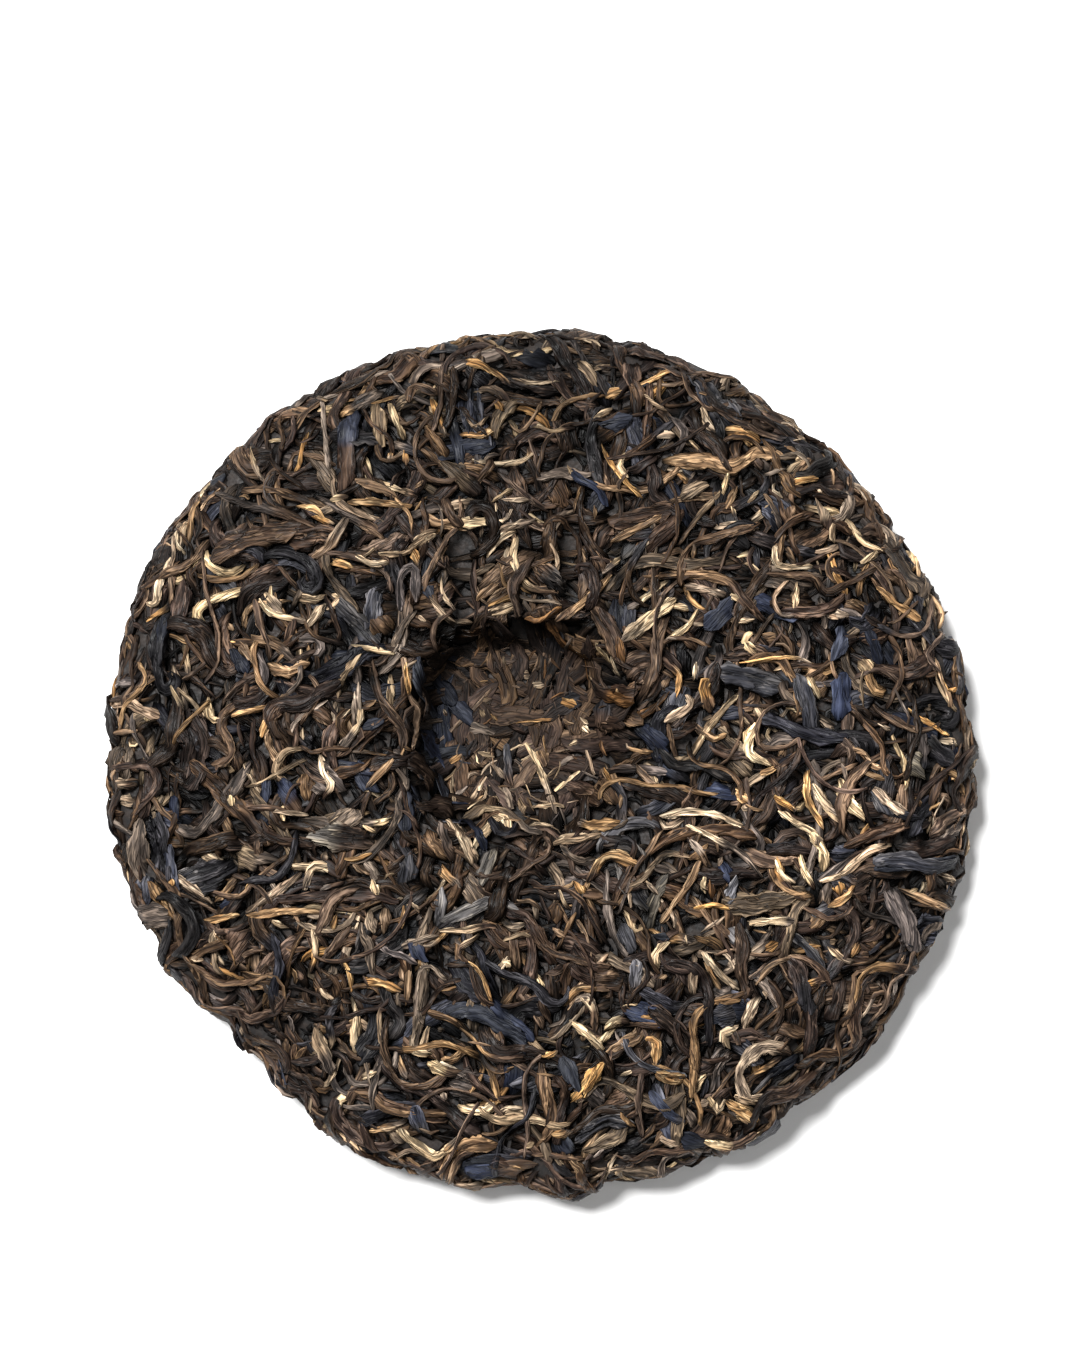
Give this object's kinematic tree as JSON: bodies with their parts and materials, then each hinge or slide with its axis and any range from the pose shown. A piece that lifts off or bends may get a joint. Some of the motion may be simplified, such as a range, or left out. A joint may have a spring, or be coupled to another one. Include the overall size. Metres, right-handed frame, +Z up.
{
  "type": "raw pu-erh tea cake",
  "caption": "Round pressed cake of loose leaf tea, lying flat with the squarish pressed hollow of its back up.",
  "frame": {"origin": "middle of the cake's round outline, on the surface that it lies on", "axes": "+Z up through the cake's thickness, out of the side with the pressed hollow; +Y away from the viewer in the reference view, +X to the right"},
  "size_m": [0.1984, 0.1967, 0.0253],
  "materials": {
    "pressed_leaf": "dry dark brown and grey twisted leaves, low sheen",
    "pale_bud": "dry cream to golden buds and leaf tips, matte and downy",
    "leaf_stem": "dry brown to tan stalks, low sheen"
  },
  "bodies": {
    "root": {"tea_cake": "pressed_leaf"}
  },
  "joints": []
}
